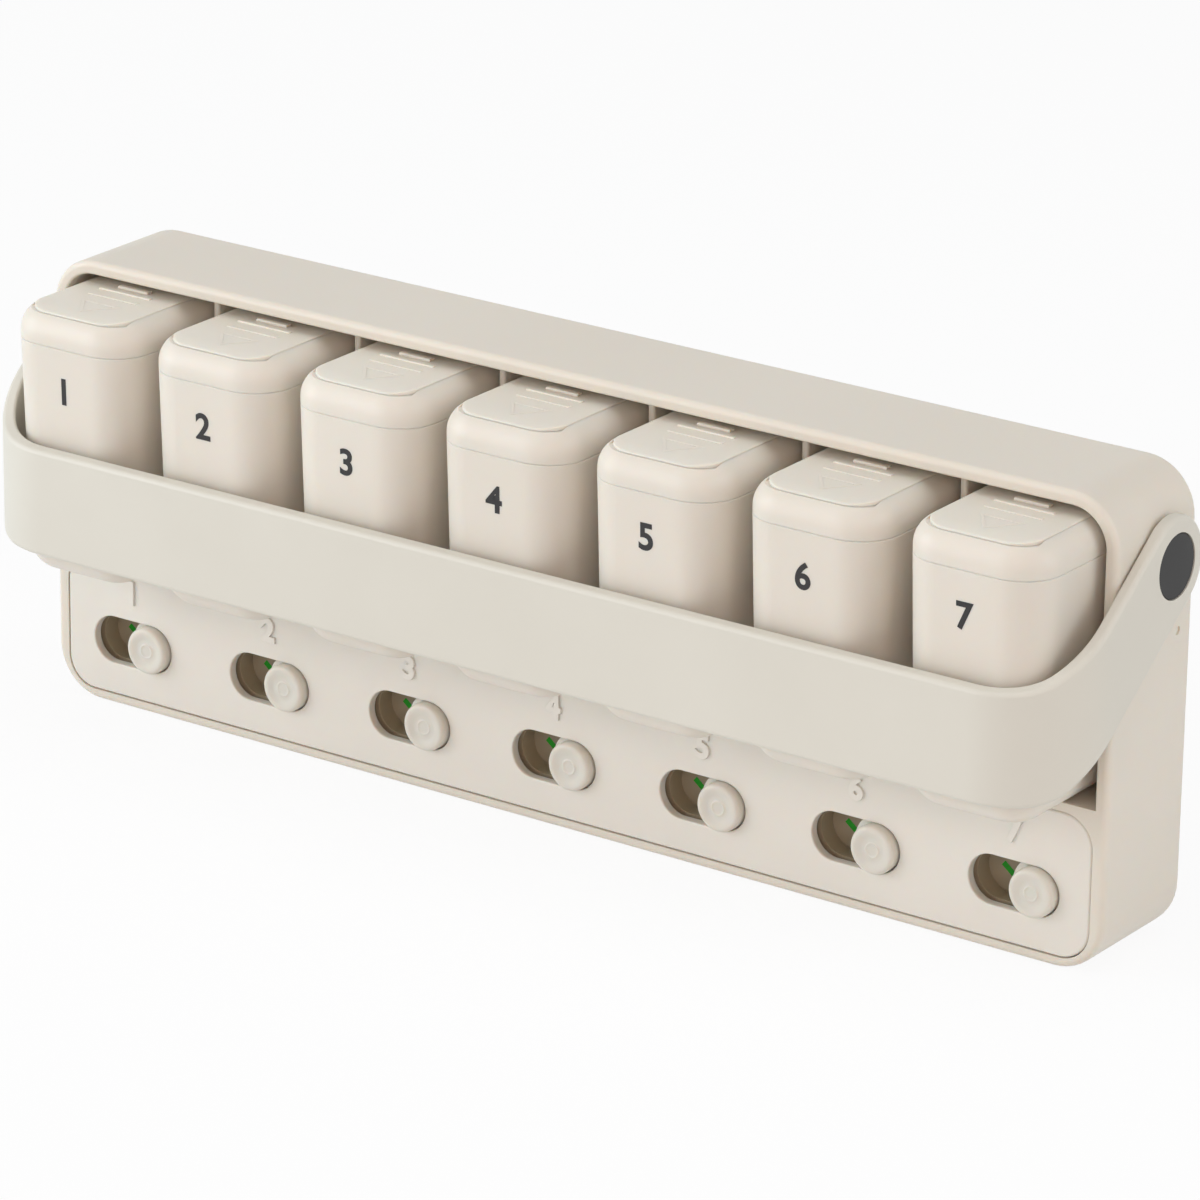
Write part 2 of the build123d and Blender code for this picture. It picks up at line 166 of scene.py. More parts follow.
class OrganizerFinish(PropertyGroup):
    """Colours and surface of the plastics, inks and steel."""

    case_colour: colour_property("Case", "Plastic of the case", 220, 213, 200)
    # Lighter than the case's plastic: partly the panel's own moulding, partly painted light standing in for
    # light that reaches the panel under the guard
    panel_colour: colour_property("Panel", "Plastic of the front panel", 225, 220, 210)
    pod_colour: colour_property("Pods", "Plastic of the pods' cups and caps", 222, 215, 203)
    lid_colour: colour_property("Lids", "Plastic of the sliding lids", 228, 220, 207)
    guard_colour: colour_property("Guard", "Plastic of the guard bar", 211, 207, 195)
    slider_colour: colour_property("Sliders", "Plastic of the slider knobs", 214, 210, 199)
    # Darker and warmer than the case's plastic: partly the tray's own tone, partly painted shade for the
    # warm shade deep inside the slots
    tray_colour: colour_property("Tray", "Plastic of the tray behind the slots", 167, 154, 130)
    pin_colour: colour_property("Pins", "Black plastic of the two pivot pins", 6, 5, 4)
    ink_colour: colour_property("Ink", "Print on the pods", 30, 28, 28)
    tick_colour: colour_property("Ticks", "Print of the ticks behind the slots", 12, 160, 14)
    screw_colour: colour_property("Screws", "Zinc plating of the screws", 196, 197, 198)
    sheen: share_property("Sheen", "Roughness of the moulded plastic", 0.44)
    sheen_drift: share_property("Sheen drift", "How far the roughness strays over a surface", 0.05)
    tone_drift: share_property("Tone drift", "How far the pigment strays over a surface", 0.018)
    depth_share: share_property("Depth share", "Share of the light that spreads inside the plastic", 0.45)
    depth: length_property("Depth", "How far light spreads inside the plastic", 1.6)
    grain: length_property("Grain", "Size of the mould's fine spark grain", 0.32)
    grain_depth: length_property("Grain depth", "Height of the grain", 0.006)
    flow: length_property("Flow", "Size of the slow waves left by moulding", 26)
    flow_depth: length_property("Flow depth", "Height of the slow waves", 0.03)
    ink_drift: share_property("Ink drift", "How far a print's colour strays", 0.12)
    ink_sheen: share_property("Ink sheen", "Roughness of a print", 0.51)
    ink_sheen_drift: share_property("Ink sheen drift", "How far a print's roughness strays", 0.09)
    zinc_drift: share_property("Zinc drift", "How far the plating's tint strays", 0.08)
    zinc_sheen: share_property("Zinc sheen", "Roughness of the plating", 0.33)
    zinc_sheen_drift: share_property("Zinc sheen drift", "How far the plating's roughness strays", 0.09)
    mottle: length_property("Mottle", "Size of the blotches in the plating's tint", 1.5)
    wear: length_property("Wear", "Size of the blotches in the plating's brightness", 0.6)
    pits: length_property("Pits", "Size of the plating's pits", 0.2)
    pit_depth: length_property("Pit depth", "Depth of the plating's pits", 0.003)


class OrganizerMarks(PropertyGroup):
    """Sizes of the numbers, arrows and ticks."""

    number_height: length_property("Number height", "Height of a pod's printed number", 5.2)
    number_level: length_property("Number level", "Height of a printed number's middle", 69.15)
    number_weight: length_property("Number weight", "Extra thickness of a number's strokes", 0.13)
    ink_thickness: length_property("Ink thickness", "Thickness of printed ink", 0.05)
    pod_lean: angle_property("Pod lean", "How far a pod's front leans back towards its foot", 1.8)
    relief_height: length_property("Relief height", "Height of a raised number on the panel", 4.9)
    relief_level: length_property("Relief level", "Height of a raised number's middle", 23.7)
    relief_weight: length_property("Relief weight", "Extra thickness of a raised number's strokes", 0.16)
    relief: length_property("Relief", "How far a raised number stands out", 0.45)
    arrow_half_width: length_property("Arrow half width", "Half the width of a lid's arrow", 4.5)
    arrow_base: length_property("Arrow base", "Distance of the arrow's base from a lid's front edge", 9.2)
    arrow_tip: length_property("Arrow tip", "Distance of the arrow's tip from a lid's front edge", 2.8)
    arrow_line: length_property("Arrow line", "Width of the arrow's raised line", 0.55)
    arrow_relief: length_property("Arrow relief", "How far the arrow stands out", 0.08)
    tick_width: length_property("Tick width", "Width of a tick's stroke", 1.1)
    tick_left: lengths_property("Tick left", "Left end of a tick, from its slot's middle", -6.3, 0.55)
    tick_foot: lengths_property("Tick foot", "Bend of a tick, from its slot's middle", -3.7, -1.55)
    tick_right: lengths_property("Tick right", "Right end of a tick, from its slot's middle", 0.6, 2.95)
    tick_floor: length_property("Tick floor", "Depth of the tray's wells", 3.8)


class OrganizerLids(PropertyGroup):
    """Sizes of a lid's plate, grip bars and hooked feet."""

    thickness: length_property("Thickness", "Thickness of the plate", 0.8)
    rib_height: length_property("Rib height", "Height of the solid's tallest grip bar over its face", 0.8)
    front_radius: length_property("Front radius", "Radius of the front corners", 5.2)
    rear_radius: length_property("Rear radius", "Radius of the rear corners", 1.5)
    edge_radius: length_property("Edge radius", "Radius of the upper edge", 0.18)
    roll_drop: length_property("Roll drop", "How far the face rolls down to the front edge", 0.45)
    roll_length: length_property("Roll length", "How far behind the front edge the roll starts", 3.6)
    bar_places: lengths_property("Bar places", "Distances of the bars from the front edge", 19.1, 16.3, 12.8)
    bar_lengths: lengths_property("Bar lengths", "Lengths of the grip bars", 7.0, 12.0, 11.6)
    bar_widths: lengths_property("Bar widths", "Widths of the grip bars", 1.5, 0.9, 0.9)
    bar_heights: lengths_property("Bar heights", "Heights of the grip bars", 0.48, 0.22, 0.11)
    foot_span: length_property("Foot span", "Width over both feet's webs", 15.6)
    foot_length: length_property("Foot length", "Length of a foot", 4.0)
    foot_inset: length_property("Foot inset", "Distance of a foot from the rear edge", 4.6)
    web: length_property("Web", "Thickness of a foot's web", 1.0)
    hook: length_property("Hook", "How far a foot's hook reaches out", 1.2)
    hook_thickness: length_property("Hook thickness", "Thickness of a foot's hook", 1.0)


class OrganizerSliders(PropertyGroup):
    """Sizes of a slider knob's turned shape."""

    knob_diameter: length_property("Knob", "Diameter of the knob", 9.2)
    rim_radius: length_property("Rim", "Radius of the knob's rounded rim", 0.8)
    dish_depth: length_property("Dish depth", "Depth of the soft dish in the face", 0.38)
    dish_floor: length_property("Dish floor", "Radius of the dish's flat floor", 2.0)
    ring_radius: length_property("Ring radius", "Radius of the low ring in the dish", 1.3)
    ring_width: length_property("Ring width", "Width of the low ring", 0.6)
    ring_height: length_property("Ring height", "Height of the low ring", 0.13)
    flange_thickness: length_property("Flange", "Thickness of the flange behind the panel", 1.0)
    face_step: length_property("Face step", "Distance between the rings of faces on the knob", 0.15)
    sides: IntProperty(name="Sides", description="Facets round a knob", default=64, min=24)


class OrganizerScrews(PropertyGroup):
    """Sizes of the four panel screws."""

    head_diameter: length_property("Head", "Diameter of a screw's head", 5.0)
    head_height: length_property("Head height", "Height of a screw's head", 1.8)
    crown: length_property("Crown", "Height of the rounded part of the head", 0.45)
    shank_diameter: length_property("Shank", "Diameter of a screw's shank", 2.5)
    recess_span: length_property("Recess span", "Width across the cross recess", 2.9)
    recess_width: length_property("Recess width", "Width of one slot of the cross recess", 0.65)
    recess_depth: length_property("Recess depth", "Depth of the cross recess", 0.9)
    recess_taper: share_property("Recess taper", "Size of the recess's floor against its mouth", 0.6)
    sides: IntProperty(name="Sides", description="Facets round a screw", default=32, min=12)


class OrganizerStudio(PropertyGroup):
    """Camera, lamps and floor."""

    view_point: lengths_property("View point", "Where the camera stands", 645.23, -910.325, 454.74)
    view_turn: angle_property("View turn", "Angle of the view from the front, towards the right end", 34.966)
    view_drop: angle_property("View drop", "Angle that the camera looks down", 20.213)
    view_roll: angle_property("View roll", "Tilt of the camera about its own line of sight", 0.79)
    lens: FloatProperty(
        name="Lens", description="Focal length on a 36 mm sensor", unit="CAMERA", default=196.24
    )
    room_light: share_property("Room light", "Strength of the even light", 0.315)
    room_tint: colour_property("Room tint", "Colour of the even light", 255, 255, 255)
    front_light: power_property("Front light", "Low lamp before the front", 3.8)
    front_tint: colour_property("Front tint", "Colour of the front light", 243, 249, 255)
    key_light: power_property("Key light", "Lamp on the left of the front", 17.1)
    key_tint: colour_property("Key tint", "Colour of the key light", 241, 249, 255)
    side_light: power_property("Side light", "Lamp on the right end", 6.9)
    side_tint: colour_property("Side tint", "Colour of the side light", 243, 250, 255)
    top_light: power_property("Top light", "Lamp overhead", 6.9)
    top_tint: colour_property("Top tint", "Colour of the top light", 255, 255, 255)
    fill_light: power_property("Fill light", "Small warm lamp by the camera", 4.4)
    fill_tint: colour_property("Fill tint", "Colour of the fill light", 255, 221, 208)
    floor_colour: colour_property("Floor", "Floor and background", 246, 246, 246)
    floor_glow: share_property("Floor glow", "Share of white in what the camera sees of the floor", 0.9)
    floor_drop: length_property("Floor drop", "How far the floor lies below the object", 0.1)
    floor_reach: length_property("Floor reach", "Distance from the middle of the floor to its edge", 6000)


def new_material(name):
    material = bpy.data.materials.new(name)
    material.use_nodes = True
    tree = material.node_tree
    return material, tree, tree.nodes["Principled BSDF"]


def add_noise(tree, size, detail=2.0):
    """Noise on the piece's own coordinates, whose blotches are about that size in metres."""
    place = tree.nodes.new("ShaderNodeTexCoord")
    noise = tree.nodes.new("ShaderNodeTexNoise")
    noise.inputs["Scale"].default_value = 1 / size
    noise.inputs["Detail"].default_value = detail
    tree.links.new(place.outputs["Object"], noise.inputs["Vector"])
    return noise.outputs["Fac"]


def add_range(tree, value, low, high):
    """A noise's useful span, spread from low to high."""
    spread = tree.nodes.new("ShaderNodeMapRange")
    limits = zip(("From Min", "From Max", "To Min", "To Max"), (*NOISE_SPAN, low, high))
    for name, limit in limits:
        spread.inputs[name].default_value = limit
    tree.links.new(value, spread.inputs["Value"])
    return spread.outputs["Result"]


def add_sheen(tree, shader, size, sheen, drift):
    """A roughness that strays as far as the drift to either side, in blotches of that size."""
    roughness = add_range(tree, add_noise(tree, size), sheen - drift, sheen + drift)
    tree.links.new(roughness, shader.inputs["Roughness"])


def add_tone(tree, colour, drift, size):
    """A colour that strays a little to a darker and warmer, and to a lighter one."""
    mix = tree.nodes.new("ShaderNodeMix")
    mix.data_type = "RGBA"
    darker = [share * (1 - fall * drift) for share, fall in zip(colour, DENSE_FALL)]
    lighter = [min(1, share * (1 + drift)) for share in colour]
    factor, tone_a, tone_b = (
        next(socket for socket in mix.inputs if socket.identifier == identifier)
        for identifier in ("Factor_Float", "A_Color", "B_Color")
    )
    tone_a.default_value = (*darker, 1)
    tone_b.default_value = (*lighter, 1)
    tree.links.new(add_range(tree, add_noise(tree, size, detail=3), 0, 1), factor)
    return next(socket for socket in mix.outputs if socket.identifier == "Result_Color")


def add_bump(tree, height, depth, under=None):
    bump = tree.nodes.new("ShaderNodeBump")
    bump.inputs["Strength"].default_value = 1
    bump.inputs["Distance"].default_value = depth
    tree.links.new(height, bump.inputs["Height"])
    if under:
        tree.links.new(under, bump.inputs["Normal"])
    return bump.outputs["Normal"]


def moulded_plastic(name, colour, finish, deep=True):
    """Satin plastic: a drifting pigment, an uneven sheen, slow flow waves and the mould's fine grain.

    Light spreads inside it if it is deep. It doesn't in a thin mark, in black plastic, or in the guard bar,
    where it would show the joins between the stretches that the bar is stored in.
    """
    material, tree, shader = new_material(name)
    if deep:
        shader.inputs["Subsurface Weight"].default_value = finish.depth_share
        shader.inputs["Subsurface Radius"].default_value = WARM_SPREAD
        shader.inputs["Subsurface Scale"].default_value = finish.depth
    tree.links.new(add_tone(tree, colour, finish.tone_drift, 2 * finish.flow), shader.inputs["Base Color"])
    add_sheen(tree, shader, finish.flow, finish.sheen, finish.sheen_drift)
    waves = add_bump(tree, add_noise(tree, finish.flow, detail=1), finish.flow_depth)
    grain = add_bump(tree, add_noise(tree, finish.grain), finish.grain_depth, waves)
    tree.links.new(grain, shader.inputs["Normal"])
    return material


def printed_ink(name, colour, finish):
    """A thin print: its colour breaks up a little where the plastic's grain comes through."""
    material, tree, shader = new_material(name)
    tree.links.new(add_tone(tree, colour, finish.ink_drift, 2 * finish.grain), shader.inputs["Base Color"])
    add_sheen(tree, shader, finish.grain, finish.ink_sheen, finish.ink_sheen_drift)
    grain = add_bump(tree, add_noise(tree, finish.grain), finish.grain_depth)
    tree.links.new(grain, shader.inputs["Normal"])
    return material


def plated_steel(name, colour, finish):
    """Zinc-plated steel with a mottled tint and worn, uneven brightness."""
    material, tree, shader = new_material(name)
    shader.inputs["Metallic"].default_value = 1
    tree.links.new(add_tone(tree, colour, finish.zinc_drift, finish.mottle), shader.inputs["Base Color"])
    add_sheen(tree, shader, finish.wear, finish.zinc_sheen, finish.zinc_sheen_drift)
    pits = add_bump(tree, add_noise(tree, finish.pits), finish.pit_depth)
    tree.links.new(pits, shader.inputs["Normal"])
    return material


def dress(material, *nodes):
    for node in nodes:
        NODES[node].material_slots[0].material = material


def new_piece(name, mesh, material=None):
    piece = bpy.data.objects.new(name, mesh)
    bpy.context.scene.collection.objects.link(piece)
    if material:
        mesh.materials.clear()
        mesh.materials.append(material)
    return piece


def mesh_of(shape, name):
    """A plain mesh from a bmesh, with its doubles merged and its faces turned outwards."""
    bmesh.ops.remove_doubles(shape, verts=shape.verts, dist=MERGE_DISTANCE)
    bmesh.ops.recalc_face_normals(shape, faces=shape.faces)
    mesh = bpy.data.meshes.new(name)
    shape.to_mesh(mesh)
    shape.free()
    return mesh


def evaluated_mesh(piece):
    depsgraph = bpy.context.evaluated_depsgraph_get()
    return bpy.data.meshes.new_from_object(piece.evaluated_get(depsgraph), depsgraph=depsgraph)


def upright_place(origin, lean=0.0):
    """A place on a front face: x to the right, y up the face and z out of it towards the front."""
    up = Vector((0, -math.sin(lean), math.cos(lean)))
    right = Vector((1, 0, 0))
    out = right.cross(up)
    return Matrix.Translation(origin) @ Matrix((right, up, out)).transposed().to_4x4()


def digit_mesh(name, digit, height, weight, thickness, bevel):
    """A plain number as a solid of that height, centred on the origin, with its back at z = 0."""
    text = bpy.data.curves.new(name, "FONT")
    text.body = digit
    text.size = height
    text.offset = weight
    text.extrude = thickness / 2 - bevel
    text.bevel_depth = bevel
    text.bevel_resolution = 1
    text.resolution_u = 8
    holder = new_piece(name, text)
    bpy.context.view_layer.update()
    flat = evaluated_mesh(holder)
    bpy.data.objects.remove(holder)
    bpy.data.curves.remove(text)
    shape = bmesh.new()
    shape.from_mesh(flat)
    bpy.data.meshes.remove(flat)
    xs = [vertex.co.x for vertex in shape.verts]
    ys = [vertex.co.y for vertex in shape.verts]
    fit = height / (max(ys) - min(ys))
    centre = Vector(((min(xs) + max(xs)) / 2, (min(ys) + max(ys)) / 2, -thickness / 2))
    bmesh.ops.translate(shape, verts=shape.verts, vec=-centre)
    bmesh.ops.scale(shape, verts=shape.verts, vec=(fit, fit, 1))
    return mesh_of(shape, name)


def prism(outline, thickness):
    """A closed solid from a flat outline of (x, y) points, from z = 0 up."""
    shape = bmesh.new()
    face = shape.faces.new([shape.verts.new((x, y, 0)) for x, y in outline])
    raised = bmesh.ops.extrude_face_region(shape, geom=[face])["geom"]
    corners = [item for item in raised if isinstance(item, bmesh.types.BMVert)]
    bmesh.ops.translate(shape, verts=corners, vec=(0, 0, thickness))
    return shape


def stroke_outline(points, width):
    """The outline of a bent stroke of even width through three points, with a mitred bend."""
    start, bend, end = (Vector(point) for point in points)
    first = (bend - start).normalized()
    second = (end - bend).normalized()
    first_side = Vector((-first.y, first.x)) * width / 2
    second_side = Vector((-second.y, second.x)) * width / 2
    mitre = (first_side + second_side).normalized()
    mitre *= (width / 2) / mitre.dot(first_side.normalized())
    return [
        start + first_side, bend + mitre, end + second_side,
        end - second_side, bend - mitre, start - first_side,
    ]


def arrow_shape(half_width, base, tip, line, relief):
    """A raised outline of a triangle that points to the front, its base and tip given as y."""
    corners = [Vector((-half_width, base)), Vector((0, tip)), Vector((half_width, base))]
    sides = [(corners[(index + 1) % 3] - corners[(index + 2) % 3]).length for index in range(3)]
    round_trip = sum(sides)
    centre = sum((corner * side for corner, side in zip(corners, sides)), Vector((0, 0))) / round_trip
    inner_radius = 2 * half_width * abs(base - tip) / round_trip
    inner = [centre + (corner - centre) * (1 - line / inner_radius) for corner in corners]
    shape = bmesh.new()
    loops = [
        [shape.verts.new((point.x, point.y, level)) for point in ring]
        for ring, level in ((corners, 0), (corners, relief), (inner, relief), (inner, 0))
    ]
    for lower, upper in zip(loops, loops[1:] + loops[:1]):
        for index in range(3):
            following = (index + 1) % 3
            shape.faces.new((lower[index], lower[following], upper[following], upper[index]))
    top_edges = [
        edge for edge in shape.edges if all(vertex.co.z > relief / 2 for vertex in edge.verts)
    ]
    rounding = relief * ARROW_ROUNDING
    bmesh.ops.bevel(shape, geom=top_edges, offset=rounding, segments=2, affect="EDGES", profile=0.5)
    return shape


def block(shape, low, high, rounding=0.0):
    """Adds a box between two corners to a shape, its upper edges rounded where that is asked for."""
    part = prism([(low.x, low.y), (high.x, low.y), (high.x, high.y), (low.x, high.y)], high.z - low.z)
    if rounding:
        top = [edge for edge in part.edges if all(vertex.co.z > 0 for vertex in edge.verts)]
        bmesh.ops.bevel(part, geom=top, offset=rounding, segments=3, affect="EDGES", profile=0.5)
    bmesh.ops.translate(part, verts=part.verts, vec=(0, 0, low.z))
    add_shape(shape, part)


def add_shape(shape, part):
    """Moves everything in one bmesh into another."""
    carrier = bpy.data.meshes.new("carrier")
    part.to_mesh(carrier)
    part.free()
    shape.from_mesh(carrier)
    bpy.data.meshes.remove(carrier)


def lid_ring(low, high, inset, sizes):
    """The lid's outline in plan, drawn in by an inset, as (x, y) points with rounded corners."""
    corner_steps = 10
    corners = (
        (high.x, high.y, sizes.rear_radius), (low.x, high.y, sizes.rear_radius),
        (low.x, low.y, sizes.front_radius), (high.x, low.y, sizes.front_radius),
    )
    middle_x, middle_y = (low.x + high.x) / 2, (low.y + high.y) / 2
    points = []
    for quarter, (x, y, radius) in enumerate(corners):
        centre_x = x - math.copysign(max(radius, inset), x - middle_x)
        centre_y = y - math.copysign(max(radius, inset), y - middle_y)
        for step in range(corner_steps + 1):
            angle = (quarter + step / corner_steps) * math.pi / 2
            reach = max(radius - inset, 0)
            points.append((centre_x + reach * math.cos(angle), centre_y + reach * math.sin(angle)))
    return points


def lid_plate(low, high, sizes):
    """The lid's plate: flat, with a small rounded edge, and rolled down a little towards its front edge."""
    edge_steps = 3
    roll_steps = 6
    rings = [(0, 0)]
    for step in range(edge_steps + 1):
        angle = step / edge_steps * math.pi / 2
        inset = sizes.edge_radius * (1 - math.cos(angle))
        rings.append((inset, sizes.thickness - sizes.edge_radius * (1 - math.sin(angle))))
    for step in range(1, roll_steps + 1):
        rings.append((sizes.edge_radius + sizes.roll_length * step / roll_steps, sizes.thickness))
    shape = bmesh.new()
    loops = []
    for inset, level in rings:
        loop = []
        for x, y in lid_ring(low, high, inset, sizes):
            ahead = max(0, 1 - (y - low.y) / sizes.roll_length)
            drop = sizes.roll_drop * ahead ** 2 if level else 0
            loop.append(shape.verts.new((x, y, low.z + level - drop)))
        loops.append(loop)
    for lower, upper in zip(loops, loops[1:]):
        for index in range(len(lower)):
            following = (index + 1) % len(lower)
            shape.faces.new((lower[index], lower[following], upper[following], upper[index]))
    shape.faces.new(reversed(loops[0]))
    shape.faces.new(loops[-1])
    return shape


def lid_shape(node, sizes):
    """A lid's plate, grip bars and hooked feet as overlapping closed solids, for a later union."""
    low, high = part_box(node)
    face = high.z - sizes.rib_height
    under = face - sizes.thickness
    x = (low.x + high.x) / 2
    shape = lid_plate(Vector((low.x, low.y, under)), Vector((high.x, high.y, face)), sizes)
    bars = zip(sizes.bar_places, sizes.bar_lengths, sizes.bar_widths, sizes.bar_heights)
    for place, length, width, height in bars:
        y = low.y + place
        block(
            shape, Vector((x - length / 2, y - width / 2, face - sizes.thickness / 2)),
            Vector((x + length / 2, y + width / 2, face + height)), min(height, width) * BAR_ROUNDING,
        )
    rear = high.y - sizes.foot_inset
    front = rear - sizes.foot_length
    sink = sizes.thickness / 2
    for side in (-1, 1):
        outer = x + side * sizes.foot_span / 2
        inner = outer - side * sizes.web
        tip = outer + side * sizes.hook
        block(
            shape, Vector((min(inner, outer), front, low.z)), Vector((max(inner, outer), rear, under + sink))
        )
        block(
            shape, Vector((min(inner, tip), front, low.z)),
            Vector((max(inner, tip), rear, low.z + sizes.hook_thickness)),
        )
    return shape


def turned(profile, sides):
    """A shape turned about the Z axis, from a profile of (radius, level) points."""
    shape = bmesh.new()
    vertices = [shape.verts.new((radius, 0, level)) for radius, level in profile]
    edges = [shape.edges.new(pair) for pair in zip(vertices, vertices[1:])]
    bmesh.ops.spin(
        shape, geom=vertices + edges, axis=(0, 0, 1), cent=(0, 0, 0), angle=2 * math.pi,
        steps=sides, use_merge=True,
    )
    bmesh.ops.remove_doubles(shape, verts=shape.verts, dist=MERGE_DISTANCE)
    return shape


def rounded_rim(radius, rounding, steps=8):
    """The profile of a rim from its top at level 0 to its side, as (radius, level) points."""
    angles = [step / steps * math.pi / 2 for step in range(steps + 1)]
    return [
        (radius - rounding * (1 - math.sin(angle)), -rounding * (1 - math.cos(angle))) for angle in angles
    ]


def eased(share):
    """Falls from 1 to 0 as a share goes from 0 to 1, level at both ends."""
    return (1 + math.cos(math.pi * share)) / 2


def knob_shape(flange_radius, depth, sizes):
    """A slider from its rim at z = 0 down: a rounded knob with a soft dish, on its flange."""
    radius = sizes.knob_diameter / 2
    rim = radius - sizes.rim_radius
    flange_front = sizes.flange_thickness - depth
    profile = []
    face_steps = round(rim / sizes.face_step)
    for step in range(face_steps):
        place = rim * step / face_steps
        slope = min(1, max(0, (place - sizes.dish_floor) / (rim - sizes.dish_floor)))
        away = min(1, abs(place - sizes.ring_radius) / (sizes.ring_width / 2))
        profile.append((place, sizes.ring_height * eased(away) - sizes.dish_depth * eased(slope)))
    profile += rounded_rim(radius, sizes.rim_radius)
    profile += [(radius, flange_front), (flange_radius, flange_front), (flange_radius, -depth), (0, -depth)]
    return turned(profile, sizes.sides)


def screw_shape(length, sizes):
    """A screw from its head's top at z = 0 down, with a rounded head and a tapered cross recess."""
    head, shank = sizes.head_diameter / 2, sizes.shank_diameter / 2
    profile = rounded_rim(head, sizes.crown, steps=4)
    profile += [(head, -sizes.head_height), (shank, -sizes.head_height), (shank, -length), (0, -length)]
    shape = turned(profile, sizes.sides)
    rim = [edge for edge in shape.edges if edge.is_boundary]
    half, slot = sizes.recess_span / 2, sizes.recess_width / 2
    quarter = [Vector((half, -slot, 0)), Vector((half, slot, 0)), Vector((slot, slot, 0))]
    cross = [
        Matrix.Rotation(turn * math.pi / 2, 3, "Z") @ point for turn in range(4) for point in quarter
    ]
    floor = Vector((0, 0, -sizes.recess_depth))
    upper = [shape.verts.new(point) for point in cross]
    lower = [shape.verts.new(point * sizes.recess_taper + floor) for point in cross]
    mouth = [shape.edges.new((upper[index - 1], upper[index])) for index in range(len(cross))]
    bmesh.ops.triangle_fill(shape, edges=rim + mouth, use_beauty=True)
    for index in range(len(cross)):
        shape.faces.new((upper[index - 1], upper[index], lower[index], lower[index - 1]))
    shape.faces.new(lower)
    return shape


def soften(mesh):
    """Smooth shading, apart from the edges that are really sharp."""
    mesh.shade_smooth()
    mesh.set_sharp_from_angle(angle=SHARP_ANGLE)


class NodeSketch:
    """A Geometry Nodes tree with named inputs, and the few calls that the trees below need."""

    def __init__(self, name):
        self.tree = bpy.data.node_groups.new(name, "GeometryNodeTree")
        self.tree.interface.new_socket("Geometry", in_out="OUTPUT", socket_type="NodeSocketGeometry")
        self.tree.interface.new_socket("Geometry", in_out="INPUT", socket_type="NodeSocketGeometry")
        self.start = self.tree.nodes.new("NodeGroupInput")
        self.values = {}

    def input(self, name, kind, value):
        socket = self.tree.interface.new_socket(name, in_out="INPUT", socket_type=kind)
        self.values[socket.identifier] = value
        return self.start.outputs[name]

    def length(self, name, value):
        return self.input(name, "NodeSocketFloat", value)

    def node(self, kind, settings=(), **inputs):
        node = self.tree.nodes.new(kind)
        for attribute, value in settings:
            setattr(node, attribute, value)
        for name, value in inputs.items():
            socket = node.inputs[name.replace("_", " ")]
            for item in value if isinstance(value, list) else [value]:
                if isinstance(item, bpy.types.NodeSocket):
                    self.tree.links.new(item, socket)
                else:
                    socket.default_value = item
        return node.outputs[0]

    def math(self, operation, first, second):
        node = self.tree.nodes.new("ShaderNodeMath")
        node.operation = operation
        for value, socket in zip((first, second), node.inputs):
            if isinstance(value, bpy.types.NodeSocket):
                self.tree.links.new(value, socket)
            else:
                socket.default_value = value
        return node.outputs[0]

    def boolean(self, operation, **meshes):
        settings = [("operation", operation), ("solver", "EXACT")]
        return self.node("GeometryNodeMeshBoolean", settings, Self_Intersection=True, **meshes)

    def finish(self, instances, material):
        realized = self.node("GeometryNodeRealizeInstances", Geometry=instances)
        named = self.input("Material", "NodeSocketMaterial", material)
        coloured = self.node("GeometryNodeSetMaterial", Geometry=realized, Material=named)
        end = self.tree.nodes.new("NodeGroupOutput")
        self.tree.links.new(coloured, end.inputs["Geometry"])

    def apply(self, piece):
        """Runs the tree on a piece and leaves the piece with the plain mesh that it makes."""
        modifier = piece.modifiers.new(self.tree.name, "NODES")
        modifier.node_group = self.tree
        for identifier, value in self.values.items():
            modifier[identifier] = value
        bpy.context.view_layer.update()
        mesh = evaluated_mesh(piece)
        piece.modifiers.remove(modifier)
        piece.data = mesh
        if not mesh.polygons:
            raise RuntimeError(f"{piece.name} came out empty")


class ORGANIZER_OT_case(Operator):
    """Give the case, its front panel and the tray behind the slots their moulded plastic, the panel's
    lightened by painted light and the tray's darkened by painted shade
    """

    bl_idname = "organizer.case"
    bl_label = "Dress Case"

    def execute(self, context):
        finish = context.scene.organizer_finish
        dress(moulded_plastic("case_plastic_satin", finish.case_colour, finish), "case_shell")
        # The panel's colour is lightened by painted light
        dress(moulded_plastic("panel_plastic_satin", finish.panel_colour, finish), "front_panel")
        # The tray's colour is darkened by painted shade
        dress(moulded_plastic("tray_plastic_satin", finish.tray_colour, finish), "slider_tray")
        return {"FINISHED"}


class ORGANIZER_OT_guard(Operator):
    """Give the guard bar its plastic and the two pivot pins their black one"""

    bl_idname = "organizer.guard"
    bl_label = "Dress Guard"

    def execute(self, context):
        finish = context.scene.organizer_finish
        guard = moulded_plastic("guard_plastic_satin", finish.guard_colour, finish, deep=False)
        dress(guard, *nodes_named("guard_"))
        pins = moulded_plastic("pin_plastic_black", finish.pin_colour, finish, deep=False)
        dress(pins, "pivot_pin_left", "pivot_pin_right")
        return {"FINISHED"}


class ORGANIZER_OT_pods(Operator):
    """Give the pods' cups and caps their plastic"""

    bl_idname = "organizer.pods"
    bl_label = "Dress Pods"

    def execute(self, context):
        finish = context.scene.organizer_finish
        plastic = moulded_plastic("pod_plastic_satin", finish.pod_colour, finish)
        dress(plastic, *nodes_named("pod_cup_"), *nodes_named("pod_cap_"))
        return {"FINISHED"}


